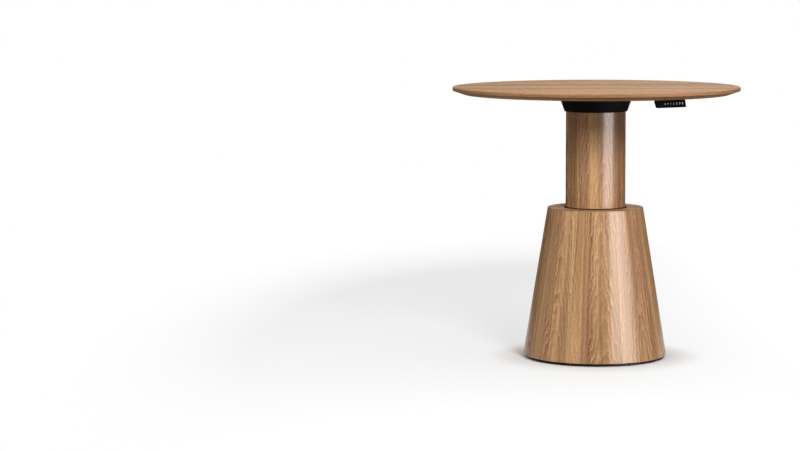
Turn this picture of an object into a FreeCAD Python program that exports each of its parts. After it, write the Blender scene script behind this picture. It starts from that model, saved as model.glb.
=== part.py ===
import FreeCAD, Part
import math
import os

from FreeCAD import Placement, Rotation, Vector

# Round pedestal table that telescopes by a spindle drive inside its column.
# Millimetres, +Z up, origin on the floor under the column, front along -Y, modelled raised.

# Overall form
top_diameter = 1200.0
top_thickness = 31.0
top_edge_height = 15.0
top_bevel_width = 47.0
top_arris = 5.0
top_edge_rounding = 1.5
base_height = 634.0
travel_allowance = 239.0
lowered_gap = 8.0
overrun = 1.0
match_tolerance = 1e-6

# Cone
cone_foot_radius = 300.0
cone_top_radius = 200.0
shell_floor_gap = 13.0
shell_wall = 18.0
cap_thickness = 18.0
cap_bore_gap = 6.0
cap_lip = 2.0
shell_foot_rounding = 1.5
glue_gap = 0.2
foot_former_height = 18.0
foot_former_width = 30.0
top_former_height = 18.0
top_former_gap_share = 0.16

# Floor plate and glides
glide_height = 5.0
glide_radius = 14.0
glide_arris = 1.0
glide_stem_radius = 4.0
glide_stem_length = 9.0
glide_count = 6
plate_thickness = 12.0
plate_edge_gap = 1.5
rim_inset = 19.0
grommet_radius = 11.0
grommet_lip = 3.0
grommet_lip_height = 2.5
grommet_bore_radius = 5.0
grommet_inset = 78.0

# Guide ring
guide_clearance = 0.3
guide_proud = 3.5
guide_arris = 1.0
guide_flange_share = 0.32
guide_flange_thickness = 5.0
guide_screw_count = 6

# Column sleeve, its ring and the collar
sleeve_radius = 125.0
sleeve_wall = 9.0
sleeve_lid_gap = 29.0
sleeve_ring_width = 10.0
sleeve_ring_height = 20.0
ring_screw_count = 6
collar_height = 72.0
collar_gap = 3.5
collar_flare = 25.5
collar_wall = 3.0
collar_flange_width = 37.0
collar_flange_thickness = 3.0
collar_arris = 2.0
collar_arris_limit_share = 0.7

# Square guide tubes and slide pads
outer_tube_width = 90.0
outer_tube_wall = 3.0
outer_tube_corner = 8.0
outer_tube_headroom = 16.0
slide_gap = 3.0
inner_tube_wall = 2.5
inner_tube_corner = 7.0
inner_tube_foot_gap = 12.0
pad_width = 50.0
pad_height = 30.0
pad_lip = 2.5
pad_clearance = 0.15

# Flanges and the plate under the top
foot_flange_width = 200.0
foot_flange_thickness = 8.0
foot_flange_corner = 12.0
foot_bolt_inset = 20.0
head_flange_rim = 29.0
head_flange_thickness = 6.0
head_flange_corner = 12.0
head_bolt_inset = 14.0
wire_hole_radius = 18.0
top_plate_rim = 23.0
top_plate_thickness = 6.0
top_screw_inset = 11.0
top_screw_count = 8

# Spindle drive
spindle_radius = 10.0
spindle_foot_gap = 15.0
spindle_fit = 0.05
journal_shoulder = 2.5
nut_shoulder = 2.0
nut_height = 34.0
nut_lap = 10.0
nut_spigot_length = 15.0
nut_stop_gap = 6.0
nut_tube_gap = 4.0
nut_tube_wall = 3.0
bulkhead_thickness = 14.0
bulkhead_edge_gap = 0.1
bulkhead_bore_radius = 11.0
bearing_depth = 8.5
bearing_width = 9.0
race_thickness = 2.6
ball_radius = 2.3
ball_clearance = 0.1
ball_count = 8
cage_thickness = 1.4
cage_height = 6.4
press_gap = 0.02

# Planetary stage
gear_module = 1.0
sun_teeth = 12
planet_teeth = 18
ring_teeth = 48
planet_count = 3
pressure_angle = 25.0
addendum_share = 0.8
dedendum_share = 1.1
tooth_backlash = 0.12
flank_steps = 3
gear_face = 8.0
gear_gap = 0.5
ring_wall = 6.0
carrier_thickness = 4.0
carrier_rim = 4.0
planet_pin_radius = 2.5

# Motor
motor_radius = 29.0
motor_length = 90.0
motor_wall = 2.0
motor_front = 3.0
motor_cap_thickness = 6.0
motor_cap_spigot = 4.0
magnet_thickness = 7.5
magnet_slot = 9.0
rotor_setback = 2.0
rotor_air_gap = 0.6
motor_shaft_radius = 2.5
motor_front_gap = 10.0
motor_rear_gap = 20.0

# Control box
control_box_length = 180.0
control_box_height = 40.0
control_box_wall = 2.5
control_box_corner = 5.0
control_box_lid_thickness = 3.0
control_box_gap = 12.0
control_boss_radius = 4.0
control_boss_height = 6.0
control_board_thickness = 1.6
control_board_gap = 3.0
transformer_length_share = 0.4
transformer_depth_share = 0.5
transformer_height = 20.0
inlet_width = 30.0
inlet_height = 22.0
inlet_depth = 16.0
inlet_well_depth = 12.0
inlet_rim = 4.0
inlet_flange = 2.0
inlet_pin_radius = 1.2
inlet_pin_spacing = 8.6
inlet_fit = 0.1

# Keypad under the front right of the top
keypad_bearing = 30.0
keypad_setback = 26.0
keypad_width = 142.0
keypad_height = 31.5
keypad_tilt = 14.5
keypad_depth = 14.0
keypad_foot_depth = 10.0
keypad_rear_height = 9.0
keypad_tab_width = 76.0
keypad_tab_depth = 34.0
keypad_tab_thickness = 5.0
keypad_tab_corner = 6.0
keypad_corner = 5.0
keypad_rim = 1.8
keypad_ledge = 1.6
keypad_fit = 0.15
face_thickness = 1.6
display_width = 24.0
display_height = 14.0
display_centre_share = 0.12
board_thickness = 1.6
dome_radius = 2.6
dome_height = 0.25
dome_gap = 0.25
key_names = ("up", "down", "save", "1", "2", "3", "4")
first_key_share = 0.27
last_key_share = 0.89
key_gap = 2.5
key_height = 14.0
key_corner = 1.6
key_proud = 0.6
key_flange = 0.7
key_flange_thickness = 0.8
key_slack = 0.2
key_travel = 0.8

# Screws: head radius, head height and shank radius of each kind
screw_clearance = 0.15
m10_head_radius = 8.0
m10_head_height = 5.5
m10_shank_radius = 5.0
m8_head_radius = 6.5
m8_head_height = 5.0
m8_shank_radius = 4.0
m5_head_radius = 4.2
m5_head_height = 3.0
m5_shank_radius = 2.5
m6_head_radius = 5.5
m6_head_height = 3.6
m6_shank_radius = 3.0
wood_head_radius = 4.4
wood_head_height = 3.0
wood_shank_radius = 2.2
head_sink = 0.6
shell_screw_bite = 12.0
guide_screw_bite = 9.0
keypad_screw_bite = 12.0
keypad_screw_inset = 12.0
top_screw_bite = 12.0
insert_radius = 5.0
insert_length = 14.0

# Heights that follow from the sizes above
lift_travel = base_height - travel_allowance
plate_bottom = glide_height
plate_top = plate_bottom + plate_thickness
shell_bottom = shell_floor_gap
cap_bottom = base_height - cap_thickness
collar_bottom = base_height + lowered_gap + lift_travel
underside = collar_bottom + collar_height
top_surface = underside + top_thickness
top_plate_top = underside - collar_flange_thickness
top_plate_bottom = top_plate_top - top_plate_thickness
head_flange_bottom = top_plate_bottom - head_flange_thickness
flange_top = plate_top + foot_flange_thickness
outer_tube_top = cap_bottom - outer_tube_headroom
inner_tube_bottom = flange_top + inner_tube_foot_gap + lift_travel
control_box_top = plate_top + control_box_height
sleeve_bottom = control_box_top + control_box_lid_thickness + sleeve_lid_gap + lift_travel
spindle_bottom = flange_top + spindle_foot_gap + lift_travel
nut_bottom = spindle_bottom + nut_lap
nut_top = nut_bottom + nut_height
bulkhead_bottom = nut_top + nut_stop_gap + lift_travel
bulkhead_top = bulkhead_bottom + bulkhead_thickness
bearing_top = bulkhead_bottom + bearing_width
bearing_middle = bulkhead_bottom + bearing_width / 2
carrier_bottom = bulkhead_top + gear_gap
carrier_top = carrier_bottom + carrier_thickness
gear_bottom = carrier_top + gear_gap
gear_top = gear_bottom + gear_face
ring_gear_top = gear_top + gear_gap
motor_top = ring_gear_top + motor_length

# Widths, radii and places that follow from the sizes above
top_radius = top_diameter / 2
cap_bore_radius = sleeve_radius + cap_bore_gap
collar_foot_radius = sleeve_radius + collar_gap + collar_wall
collar_top_radius = collar_foot_radius + collar_flare
top_plate_radius = sleeve_radius + top_plate_rim
sleeve_bore = sleeve_radius - sleeve_wall
outer_tube_bore = outer_tube_width - 2 * outer_tube_wall
inner_tube_width = outer_tube_bore - 2 * slide_gap
inner_tube_bore = inner_tube_width - 2 * inner_tube_wall
pad_thickness = slide_gap - pad_clearance
head_flange_width = inner_tube_width + 2 * head_flange_rim
nut_tube_radius = spindle_radius + nut_tube_gap + nut_tube_wall
nut_radius = nut_tube_radius + nut_shoulder
journal_radius = spindle_radius - journal_shoulder
bearing_radius = journal_radius + bearing_depth
rim_ring_radius = cone_foot_radius - shell_wall - rim_inset
grommet_place_radius = rim_ring_radius - grommet_inset
ring_screw_radius = sleeve_bore - sleeve_ring_width / 2
top_screw_radius = top_plate_radius - top_screw_inset
planet_orbit = gear_module * (sun_teeth + planet_teeth) / 2
magnet_outer = motor_radius - motor_wall - press_gap
magnet_inner = magnet_outer - magnet_thickness
rotor_radius = magnet_inner - rotor_air_gap


def outer_cone(z):
    """Radius of the shell's outside at height z."""
    taper = (cone_foot_radius - cone_top_radius) / (base_height - shell_bottom)
    return cone_foot_radius - taper * (z - shell_bottom)


def inner_cone(z):
    """Radius of the shell's inside at height z."""
    return outer_cone(z) - shell_wall


def cylinder(radius, bottom, top, x=0, y=0):
    return Part.makeCylinder(radius, top - bottom, Vector(x, y, bottom))


def drill(radius, bottom, top, x=0, y=0):
    """Cutter that runs past both ends of a hole."""
    return cylinder(radius, bottom - overrun, top + overrun, x, y)


def ring(outer, inner, bottom, top):
    return cylinder(outer, bottom, top).cut(drill(inner, bottom, top))


def block(width, depth, bottom, top, x=0, y=0):
    return Part.makeBox(width, depth, top - bottom, Vector(x - width / 2, y - depth / 2, bottom))


def rounded_block(width, depth, corner, bottom, top, x=0, y=0):
    """Upright block with its four vertical edges rounded."""
    shape = block(width, depth, bottom, top, x, y)
    upright = [e for e in shape.Edges if abs(e.Vertexes[0].Z - e.Vertexes[1].Z) > (top - bottom) / 2]
    return shape.makeFillet(corner, upright)


def square_tube(width, wall, corner, bottom, top):
    bore = width - 2 * wall
    inside = rounded_block(bore, bore, corner - wall, bottom - overrun, top + overrun)
    return rounded_block(width, width, corner, bottom, top).cut(inside)


def revolve(points):
    """Solid turned about Z from (radius, height) points."""
    wire = Part.makePolygon([Vector(r, 0, z) for r, z in points + points[:1]])
    return Part.Face(wire).revolve(Vector(0, 0, 0), Vector(0, 0, 1), 360)


def round_rim(shape, radius, height, amount):
    """Round the circular edge of that radius at that height."""
    circles = [e for e in shape.Edges if isinstance(e.Curve, Part.Circle)]
    level = [e for e in circles if abs(e.BoundBox.ZMin - height) < match_tolerance]
    return shape.makeFillet(amount, [e for e in level if abs(e.Curve.Radius - radius) < match_tolerance])


def around(count, radius, start=0.0):
    """Evenly spaced places on a circle, the first at the start angle in degrees."""
    turns = [math.radians(start + 360.0 * i / count) for i in range(count)]
    return [(radius * math.cos(t), radius * math.sin(t)) for t in turns]


def four_corners(reach):
    return [(sx * reach, sy * reach) for sx in (-1, 1) for sy in (-1, 1)]


def four_sides(shape):
    """The shape and its copies on the other three sides of a square tube."""
    return [shape.rotated(Vector(0, 0, 0), Vector(0, 0, 1), 90 * i) for i in range(4)]


def cut_all(shape, cutters):
    return shape.cut(Part.Compound(cutters))


def up_screw(x, y, seat, bite, head_radius, head_height, shank_radius):
    """Screw driven upwards: its head hangs below the seat and its shank reaches up."""
    head = cylinder(head_radius, seat - head_height, seat, x, y)
    return head.fuse(cylinder(shank_radius, seat - head_height / 2, seat + bite, x, y)).removeSplitter()


# Floor plate

glide_places = around(glide_count, rim_ring_radius)
shell_screw_places = around(glide_count, rim_ring_radius, 180.0 / glide_count)
foot_bolt_places = four_corners(foot_flange_width / 2 - foot_bolt_inset)
wood_seat = plate_bottom + head_sink + wood_head_height
bolt_seat = plate_bottom + head_sink + m10_head_height


def floor_glides():
    glides = []
    for x, y in glide_places:
        foot = cylinder(glide_radius, 0, plate_bottom, x, y)
        foot = foot.makeFillet(glide_arris, [e for e in foot.Edges if e.BoundBox.ZMax < glide_arris])
        stem = cylinder(glide_stem_radius, glide_height / 2, plate_bottom + glide_stem_length, x, y)
        glides.append(foot.fuse(stem).removeSplitter())
    return glides


def base_plate():
    plate = cylinder(inner_cone(plate_top) - plate_edge_gap, plate_bottom, plate_top)
    stem_hole = glide_stem_radius + screw_clearance
    cutters = [drill(stem_hole, plate_bottom, plate_top, x, y) for x, y in glide_places]
    for x, y in shell_screw_places:
        cutters.append(drill(wood_shank_radius + screw_clearance, plate_bottom, plate_top, x, y))
        cutters.append(cylinder(wood_head_radius + screw_clearance, plate_bottom - overrun, wood_seat, x, y))
    for x, y in foot_bolt_places:
        cutters.append(drill(m10_shank_radius + screw_clearance, plate_bottom, plate_top, x, y))
        cutters.append(cylinder(m10_head_radius + screw_clearance, plate_bottom - overrun, bolt_seat, x, y))
    cutters.append(drill(grommet_radius + glue_gap, plate_bottom, plate_top, -grommet_place_radius, 0))
    return cut_all(plate, cutters)


def cable_grommet():
    x = -grommet_place_radius
    body = cylinder(grommet_radius, plate_bottom, plate_top + grommet_lip_height, x)
    lip = cylinder(grommet_radius + grommet_lip, plate_top, plate_top + grommet_lip_height, x)
    bore = drill(grommet_bore_radius, plate_bottom, plate_top + grommet_lip_height, x)
    return body.fuse(lip).removeSplitter().cut(bore)


def shell_screws():
    bite = plate_top - wood_seat + shell_screw_bite
    return [up_screw(x, y, wood_seat, bite, wood_head_radius, wood_head_height, wood_shank_radius)
            for x, y in shell_screw_places]


def flange_bolts():
    bite = flange_top - bolt_seat
    return [up_screw(x, y, bolt_seat, bite, m10_head_radius, m10_head_height, m10_shank_radius)
            for x, y in foot_bolt_places]


# Cone

cap_room = inner_cone(cap_bottom) - cap_bore_radius
guide_flange_radius = cap_bore_radius + guide_flange_share * cap_room
top_former_bore = guide_flange_radius + top_former_gap_share * cap_room
foot_former_top = plate_top + foot_former_height
foot_former_bore = inner_cone(foot_former_top) - foot_former_width
guide_screw_places = around(guide_screw_count, (cap_bore_radius + guide_flange_radius) / 2)
guide_flange_bottom = cap_bottom - guide_flange_thickness


def cone_shell():
    shape = revolve([
        (inner_cone(shell_bottom), shell_bottom),
        (outer_cone(shell_bottom), shell_bottom),
        (cone_top_radius, base_height),
        (inner_cone(cap_bottom), cap_bottom),
    ])
    return round_rim(shape, cone_foot_radius, shell_bottom, shell_foot_rounding)


def cone_cap():
    cap = revolve([
        (cap_bore_radius, cap_bottom),
        (inner_cone(cap_bottom) - glue_gap, cap_bottom),
        (cone_top_radius - glue_gap, base_height),
        (cap_bore_radius, base_height),
    ])
    cap = round_rim(cap, cap_bore_radius, base_height, cap_lip)
    pilot = wood_shank_radius + screw_clearance
    depth = cap_bottom + guide_screw_bite + glue_gap
    return cut_all(cap, [cylinder(pilot, cap_bottom - overrun, depth, x, y) for x, y in guide_screw_places])


def former(bottom, top, bore):
    """Plywood ring that fills the cone between a bore and the shell."""
    return revolve([
        (bore, bottom),
        (inner_cone(bottom) - glue_gap, bottom),
        (inner_cone(top) - glue_gap, top),
        (bore, top),
    ])


def foot_former():
    shape = former(plate_top, foot_former_top, foot_former_bore)
    pilot = wood_shank_radius + screw_clearance
    holes = [drill(pilot, plate_top, plate_top + shell_screw_bite, x, y) for x, y in shell_screw_places]
    return cut_all(shape, holes)


def top_former():
    return former(cap_bottom - top_former_height, cap_bottom, top_former_bore)


def guide_ring():
    inner = sleeve_radius + guide_clearance
    outer = cap_bore_radius - glue_gap
    top = base_height + guide_proud
    shape = revolve([
        (inner, guide_flange_bottom),
        (guide_flange_radius, guide_flange_bottom),
        (guide_flange_radius, cap_bottom),
        (outer, cap_bottom),
        (outer, top),
        (inner, top),
    ])
    shape = round_rim(shape, outer, top, guide_arris)
    hole = wood_shank_radius + screw_clearance
    return cut_all(shape, [drill(hole, guide_flange_bottom, cap_bottom, x, y) for x, y in guide_screw_places])


def guide_screws():
    bite = guide_flange_thickness + guide_screw_bite
    return [up_screw(x, y, guide_flange_bottom, bite, wood_head_radius, wood_head_height, wood_shank_radius)
            for x, y in guide_screw_places]


# Lifting column

head_bolt_places = four_corners(head_flange_width / 2 - head_bolt_inset)


def foot_flange():
    plate = rounded_block(foot_flange_width, foot_flange_width, foot_flange_corner, plate_top, flange_top)
    hole = m10_shank_radius + screw_clearance
    return cut_all(plate, [drill(hole, plate_top, flange_top, x, y) for x, y in foot_bolt_places])


def outer_tube():
    return square_tube(outer_tube_width, outer_tube_wall, outer_tube_corner, flange_top, outer_tube_top)


def inner_tube():
    return square_tube(inner_tube_width, inner_tube_wall, inner_tube_corner,
                       inner_tube_bottom, head_flange_bottom)


def outer_pads():
    """Pads on the outer tube's inner faces, each hooked over the tube's mouth."""
    face = outer_tube_bore / 2
    pad = block(pad_width, pad_thickness, outer_tube_top - pad_height, outer_tube_top,
                0, face - pad_thickness / 2)
    hook_depth = pad_thickness + outer_tube_wall
    hook = block(pad_width, hook_depth, outer_tube_top, outer_tube_top + pad_lip,
                 0, face + outer_tube_wall - hook_depth / 2)
    return four_sides(pad.fuse(hook).removeSplitter())


def inner_pads():
    """Pads on the inner tube's outer faces, each hooked under the tube's foot."""
    face = inner_tube_width / 2
    pad = block(pad_width, pad_thickness, inner_tube_bottom, inner_tube_bottom + pad_height,
                0, face + pad_thickness / 2)
    hook_depth = pad_thickness + inner_tube_wall
    hook = block(pad_width, hook_depth, inner_tube_bottom - pad_lip, inner_tube_bottom,
                 0, face - inner_tube_wall + hook_depth / 2)
    return four_sides(pad.fuse(hook).removeSplitter())


def head_flange():
    plate = rounded_block(head_flange_width, head_flange_width, head_flange_corner,
                          head_flange_bottom, top_plate_bottom)
    hole = m8_shank_radius + screw_clearance
    cutters = [drill(hole, head_flange_bottom, top_plate_bottom, x, y) for x, y in head_bolt_places]
    cutters.append(drill(wire_hole_radius, head_flange_bottom, top_plate_bottom))
    return cut_all(plate, cutters)


def head_bolts():
    bite = top_plate_top - head_flange_bottom
    return [up_screw(x, y, head_flange_bottom, bite, m8_head_radius, m8_head_height, m8_shank_radius)
            for x, y in head_bolt_places]


def nut_tube():
    return ring(nut_tube_radius, nut_tube_radius - nut_tube_wall, flange_top, nut_bottom)


def spindle_nut():
    bore = spindle_radius + spindle_fit
    spigot = nut_tube_radius - nut_tube_wall - press_gap
    return revolve([
        (bore, nut_bottom - nut_spigot_length),
        (spigot, nut_bottom - nut_spigot_length),
        (spigot, nut_bottom),
        (nut_radius, nut_bottom),
        (nut_radius, nut_top),
        (bore, nut_top),
    ])


def spindle():
    thread = cylinder(spindle_radius, spindle_bottom, bulkhead_bottom)
    return thread.fuse(cylinder(journal_radius, bulkhead_bottom - overrun, carrier_top)).removeSplitter()


def bulkhead():
    width = inner_tube_bore - 2 * bulkhead_edge_gap
    corner = inner_tube_corner - inner_tube_wall
    plate = rounded_block(width, width, corner, bulkhead_bottom, bulkhead_top)
    seat = cylinder(bearing_radius + press_gap, bulkhead_bottom - overrun, bearing_top)
    return cut_all(plate, [seat, drill(bulkhead_bore_radius, bulkhead_bottom, bulkhead_top)])


# Ball bearing

inner_race_radius = journal_radius + press_gap + race_thickness
outer_race_bore = bearing_radius - race_thickness
ball_orbit = (inner_race_radius + outer_race_bore) / 2


def ball_track():
    return Part.makeTorus(ball_orbit, ball_radius + ball_clearance, Vector(0, 0, bearing_middle))


def bearing_outer_race():
    return ring(bearing_radius, outer_race_bore, bulkhead_bottom, bearing_top).cut(ball_track())


def bearing_inner_race():
    return ring(inner_race_radius, journal_radius + press_gap, bulkhead_bottom, bearing_top).cut(ball_track())


def bearing_balls():
    """The balls and the cage that spaces them."""
    balls = []
    pockets = []
    for x, y in around(ball_count, ball_orbit):
        balls.append(Part.makeSphere(ball_radius, Vector(x, y, bearing_middle)))
        pockets.append(Part.makeCylinder(ball_radius + ball_clearance, 2 * ball_orbit,
                                         Vector(0, 0, bearing_middle), Vector(x, y, 0)))
    cage = ring(ball_orbit + cage_thickness / 2, ball_orbit - cage_thickness / 2,
                bearing_middle - cage_height / 2, bearing_middle + cage_height / 2)
    return balls + cut_all(cage, pockets).Solids


# Planetary stage


def involute(angle):
    return math.tan(angle) - angle


def flank(teeth, root, tip, thinning):
    """Radius and half tooth angle along one involute flank, straight to the root below its base circle."""
    pitch = gear_module * teeth / 2
    pressure = math.radians(pressure_angle)
    base = pitch * math.cos(pressure)
    half_tooth = math.pi / (2 * teeth) - thinning / (2 * pitch)
    start = max(root, base)
    radii = [start + (tip - start) * i / flank_steps for i in range(flank_steps + 1)]
    points = [(r, half_tooth + involute(pressure) - involute(math.acos(base / r))) for r in radii]
    if root < base:
        points.insert(0, (root, points[0][1]))
    return points


def toothed_prism(teeth, root, tip, thinning, bottom, top):
    """Prism of a gear outline whose first tooth lies on +X."""
    side = flank(teeth, root, tip, thinning)
    polar = []
    for i in range(teeth):
        middle = 2 * math.pi * i / teeth
        polar += [(r, middle - a) for r, a in side]
        polar += [(r, middle + a) for r, a in reversed(side)]
    outline = [Vector(r * math.cos(a), r * math.sin(a), bottom) for r, a in polar]
    return Part.Face(Part.makePolygon(outline + outline[:1])).extrude(Vector(0, 0, top - bottom))


def outside_gear(teeth, bore):
    pitch = gear_module * teeth / 2
    root = pitch - dedendum_share * gear_module
    tip = pitch + addendum_share * gear_module
    gear = toothed_prism(teeth, root, tip, tooth_backlash, gear_bottom, gear_top)
    return gear.cut(drill(bore, gear_bottom, gear_top))


def sun_gear():
    return outside_gear(sun_teeth, motor_shaft_radius + press_gap)


def planet_gear(index):
    """Planet on its pin, turned half a tooth so that a gap faces the sun."""
    gear = outside_gear(planet_teeth, planet_pin_radius + spindle_fit)
    gear.rotate(Vector(0, 0, 0), Vector(0, 0, 1), 180.0 / planet_teeth)
    gear.translate(Vector(planet_orbit, 0, 0))
    gear.rotate(Vector(0, 0, 0), Vector(0, 0, 1), 360.0 * index / planet_count)
    return gear


def ring_gear():
    """Case of the stage; the gaps between its teeth are the teeth of a cutter of the same count."""
    pitch = gear_module * ring_teeth / 2
    inside = pitch - addendum_share * gear_module
    outside = pitch + dedendum_share * gear_module
    cutter = toothed_prism(ring_teeth, inside, outside, -tooth_backlash, bulkhead_top - overrun,
                           ring_gear_top + overrun)
    cutter.rotate(Vector(0, 0, 0), Vector(0, 0, 1), 180.0 / ring_teeth)
    return cylinder(pitch + ring_wall, bulkhead_top, ring_gear_top).cut(cutter)


def planet_carrier():
    disc = ring(planet_orbit + carrier_rim, journal_radius + press_gap, carrier_bottom, carrier_top)
    for x, y in around(planet_count, planet_orbit):
        disc = disc.fuse(cylinder(planet_pin_radius, carrier_bottom, gear_top, x, y))
    return disc.removeSplitter()


# Motor


def motor_can():
    can = cylinder(motor_radius, ring_gear_top, motor_top)
    bore = cylinder(motor_radius - motor_wall, ring_gear_top + motor_front, motor_top + overrun)
    shaft_hole = drill(motor_shaft_radius + spindle_fit, ring_gear_top, motor_top)
    return cut_all(can, [bore, shaft_hole])


magnet_bottom = ring_gear_top + motor_front_gap
magnet_top = motor_top - motor_rear_gap


def motor_magnets():
    """Two curved magnets with a slot between them on each side."""
    shape = ring(magnet_outer, magnet_inner, magnet_bottom, magnet_top)
    slot = block(motor_radius * 2, magnet_slot, magnet_bottom - overrun, magnet_top + overrun)
    return shape.cut(slot).Solids


def motor_cap():
    cap = cylinder(motor_radius, motor_top, motor_top + motor_cap_thickness)
    spigot = cylinder(motor_radius - motor_wall - press_gap, motor_top - motor_cap_spigot, motor_top)
    hole = drill(motor_shaft_radius + spindle_fit, motor_top - motor_cap_spigot, motor_top)
    return cap.fuse(spigot).removeSplitter().cut(hole)


def rotor():
    core = cylinder(rotor_radius, magnet_bottom + rotor_setback, magnet_top - rotor_setback)
    return core.fuse(cylinder(motor_shaft_radius, gear_bottom, motor_top)).removeSplitter()


# Top, collar and sleeve

top_screw_places = around(top_screw_count, top_screw_radius)
ring_screw_places = around(ring_screw_count, ring_screw_radius)


def tabletop():
    shape = revolve([
        (0, underside),
        (top_radius - top_bevel_width, underside),
        (top_radius, top_surface - top_edge_height),
        (top_radius, top_surface),
        (0, top_surface),
    ])
    shape = round_rim(shape, top_radius, top_surface, top_arris)
    shape = round_rim(shape, top_radius, top_surface - top_edge_height, top_edge_rounding)
    hole = insert_radius + glue_gap
    depth = underside + insert_length
    cutters = [cylinder(hole, underside - overrun, depth, x, y) for x, y in top_screw_places]
    pilot = wood_shank_radius + screw_clearance
    for x, y in keypad_screw_places():
        cutters.append(cylinder(pilot, underside - overrun, underside + keypad_screw_bite, x, y))
    return cut_all(shape, cutters)


def top_inserts():
    top = underside + insert_length
    bore = m6_shank_radius + screw_clearance
    return [cylinder(insert_radius, underside, top, x, y).cut(drill(bore, underside, top, x, y))
            for x, y in top_screw_places]


def top_screws():
    bite = underside - top_plate_bottom + top_screw_bite
    return [up_screw(x, y, top_plate_bottom, bite, m6_head_radius, m6_head_height, m6_shank_radius)
            for x, y in top_screw_places]


def top_plate():
    plate = ring(top_plate_radius, wire_hole_radius, top_plate_bottom, top_plate_top)
    cutters = [drill(m6_shank_radius + screw_clearance, top_plate_bottom, top_plate_top, x, y)
               for x, y in top_screw_places]
    cutters += [drill(m5_shank_radius + screw_clearance, top_plate_bottom, top_plate_top, x, y)
                for x, y in ring_screw_places]
    cutters += [drill(m8_shank_radius + screw_clearance, top_plate_bottom, top_plate_top, x, y)
                for x, y in head_bolt_places]
    return cut_all(plate, cutters)


def collar():
    """Flared cover with a flat flange that the plate clamps to the top."""
    slope = collar_flare / collar_height
    inner_top = collar_top_radius - slope * collar_flange_thickness - collar_wall
    shape = revolve([
        (collar_foot_radius - collar_wall, collar_bottom),
        (collar_foot_radius, collar_bottom),
        (collar_top_radius, underside),
        (collar_top_radius - collar_flange_width, underside),
        (collar_top_radius - collar_flange_width, top_plate_top),
        (inner_top, top_plate_top),
    ])
    arris = min(collar_arris, collar_wall * collar_arris_limit_share)
    shape = round_rim(shape, collar_foot_radius, collar_bottom, arris)
    hole = m6_shank_radius + screw_clearance
    return cut_all(shape, [drill(hole, top_plate_top, underside, x, y) for x, y in top_screw_places])


def column_sleeve():
    return ring(sleeve_radius, sleeve_bore, sleeve_bottom, top_plate_bottom)


def sleeve_ring():
    bottom = top_plate_bottom - sleeve_ring_height
    shape = ring(sleeve_bore - glue_gap, sleeve_bore - sleeve_ring_width, bottom, top_plate_bottom)
    hole = m5_shank_radius + screw_clearance
    return cut_all(shape, [drill(hole, bottom, top_plate_bottom, x, y) for x, y in ring_screw_places])


def ring_screws():
    bite = sleeve_ring_height + top_plate_thickness
    seat = top_plate_bottom - sleeve_ring_height
    return [up_screw(x, y, seat, bite, m5_head_radius, m5_head_height, m5_shank_radius)
            for x, y in ring_screw_places]


# Control box

control_box_front = foot_flange_width / 2 + control_box_gap
control_box_reach = math.sqrt((foot_former_bore - control_box_gap) ** 2 - (control_box_length / 2) ** 2)
control_box_depth = control_box_reach - control_box_front
control_box_y = control_box_front + control_box_depth / 2
control_bore_length = control_box_length - 2 * control_box_wall
control_bore_depth = control_box_depth - 2 * control_box_wall
inlet_z = plate_top + control_box_height / 2
inlet_x = -control_box_length / 2


def control_box_tray():
    """Open tray with four bosses for the board and a hole for the inlet in one end."""
    tray = rounded_block(control_box_length, control_box_depth, control_box_corner,
                         plate_top, control_box_top, 0, control_box_y)
    floor = plate_top + control_box_wall
    inner_corner = control_box_corner - control_box_wall
    tray = tray.cut(rounded_block(control_bore_length, control_bore_depth, inner_corner,
                                  floor, control_box_top + overrun, 0, control_box_y))
    for sx in (-1, 1):
        for sy in (-1, 1):
            x = sx * (control_bore_length / 2 - inlet_depth - control_boss_radius)
            y = control_box_y + sy * (control_bore_depth / 2 - control_boss_radius)
            tray = tray.fuse(cylinder(control_boss_radius, plate_top, floor + control_boss_height, x, y))
    hole = block(2 * control_box_wall, inlet_width + 2 * inlet_fit, inlet_z - inlet_height / 2 - inlet_fit,
                 inlet_z + inlet_height / 2 + inlet_fit, inlet_x, control_box_y)
    return tray.removeSplitter().cut(hole)


def control_box_lid():
    lid = rounded_block(control_box_length, control_box_depth, control_box_corner,
                        control_box_top, control_box_top + control_box_lid_thickness, 0, control_box_y)
    lip = rounded_block(control_bore_length - 2 * glue_gap, control_bore_depth - 2 * glue_gap,
                        control_box_corner - control_box_wall, control_box_top - control_box_wall,
                        control_box_top, 0, control_box_y)
    return lid.fuse(lip).removeSplitter()


def control_board():
    """Circuit board on the tray's bosses, with its transformer."""
    bottom = plate_top + control_box_wall + control_boss_height
    length = control_bore_length - 2 * inlet_depth
    depth = control_bore_depth - 2 * control_board_gap
    board = block(length, depth, bottom, bottom + control_board_thickness, 0, control_box_y)
    side = transformer_length_share * length
    x = (length - side) / 2 - control_board_gap
    top = bottom + control_board_thickness + transformer_height
    transformer = block(side, transformer_depth_share * depth, bottom, top, x, control_box_y)
    return board.fuse(transformer).removeSplitter()


def mains_inlet():
    """Two-pin appliance inlet set in the end of the control box."""
    low = inlet_z - inlet_height / 2
    high = inlet_z + inlet_height / 2
    body = block(inlet_depth, inlet_width, low, high, inlet_x + inlet_depth / 2, control_box_y)
    face = block(inlet_flange, inlet_width + 2 * inlet_flange, low - inlet_flange, high + inlet_flange,
                 inlet_x - inlet_flange / 2, control_box_y)
    well_depth = inlet_well_depth + inlet_flange
    well = block(well_depth + overrun, inlet_width - 2 * inlet_rim, low + inlet_rim, high - inlet_rim,
                 inlet_x - inlet_flange + (well_depth - overrun) / 2, control_box_y)
    shape = body.fuse(face).removeSplitter().cut(well)
    for side in (-1, 1):
        start = Vector(inlet_x, control_box_y + side * inlet_pin_spacing / 2, inlet_z)
        shape = shape.fuse(Part.makeCylinder(inlet_pin_radius, inlet_depth, start, Vector(1, 0, 0)))
    return shape.removeSplitter()


# Keypad, drawn facing the front and then turned to its bearing

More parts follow.
